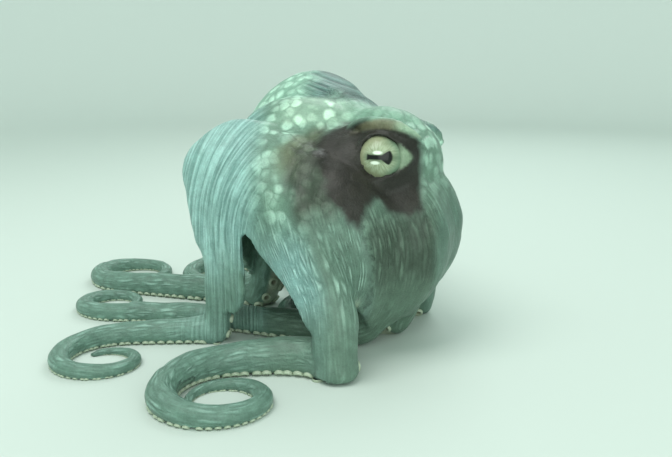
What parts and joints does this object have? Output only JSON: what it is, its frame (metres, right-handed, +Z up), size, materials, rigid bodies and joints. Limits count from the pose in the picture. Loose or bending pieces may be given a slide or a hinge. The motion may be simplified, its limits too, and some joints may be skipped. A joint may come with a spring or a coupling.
{
  "type": "octopus",
  "caption": "Life-size still model of a common octopus raised on its arms, web spread, mantle held behind the head and arm tips curled on the floor.",
  "frame": {"origin": "centre of the animal's footprint box, on the floor", "axes": "+Z up, the head faces +X turned 20 degrees towards -Y, the mantle points to +Y"},
  "size_m": [0.223, 0.3044, 0.1314],
  "materials": {
    "skin": "wet",
    "web_skin": "wet",
    "mask_skin": "wet",
    "eye": "glossy"
  },
  "bodies": {
    "root": {"arm_l1_base": "skin", "arm_l1_lower": "skin", "arm_l1_middle": "skin", "arm_l1_outer": "skin", "arm_l1_tip": "skin", "arm_l2_base": "skin", "arm_l2_lower": "skin", "arm_l2_middle": "skin", "arm_l2_outer": "skin", "arm_l2_tip": "skin", "arm_l3_base": "skin", "arm_l3_lower": "skin", "arm_l3_middle": "skin", "arm_l3_outer": "skin", "arm_l3_tip": "skin", "arm_l4_base": "skin", "arm_l4_lower": "skin", "arm_l4_middle": "skin", "arm_l4_outer": "skin", "arm_l4_tip": "skin", "arm_r1_base": "skin", "arm_r1_lower": "skin", "arm_r1_middle": "skin", "arm_r1_outer": "skin", "arm_r1_tip": "skin", "arm_r2_base": "skin", "arm_r2_lower": "skin", "arm_r2_middle": "skin", "arm_r2_outer": "skin", "arm_r2_tip": "skin", "arm_r3_base": "skin", "arm_r3_lower": "skin", "arm_r3_middle": "skin", "arm_r3_outer": "skin", "arm_r3_shoulder": "skin", "arm_r3_tip": "skin", "arm_r4_base": "skin", "arm_r4_lower": "skin", "arm_r4_middle": "skin", "arm_r4_outer": "skin", "arm_r4_shoulder": "skin", "arm_r4_tip": "skin", "crown": "skin", "eye_left": "eye", "eye_right": "eye", "funnel": "skin", "head": "mask_skin", "mantle": "skin", "web_l1_l2": "web_skin", "web_l2_l3": "web_skin", "web_l3_l4": "web_skin", "web_l4_r4": "web_skin", "web_r1_l1": "web_skin", "web_r2_r1": "web_skin", "web_r3_r2": "web_skin", "web_r4_r3": "web_skin"}
  },
  "joints": []
}
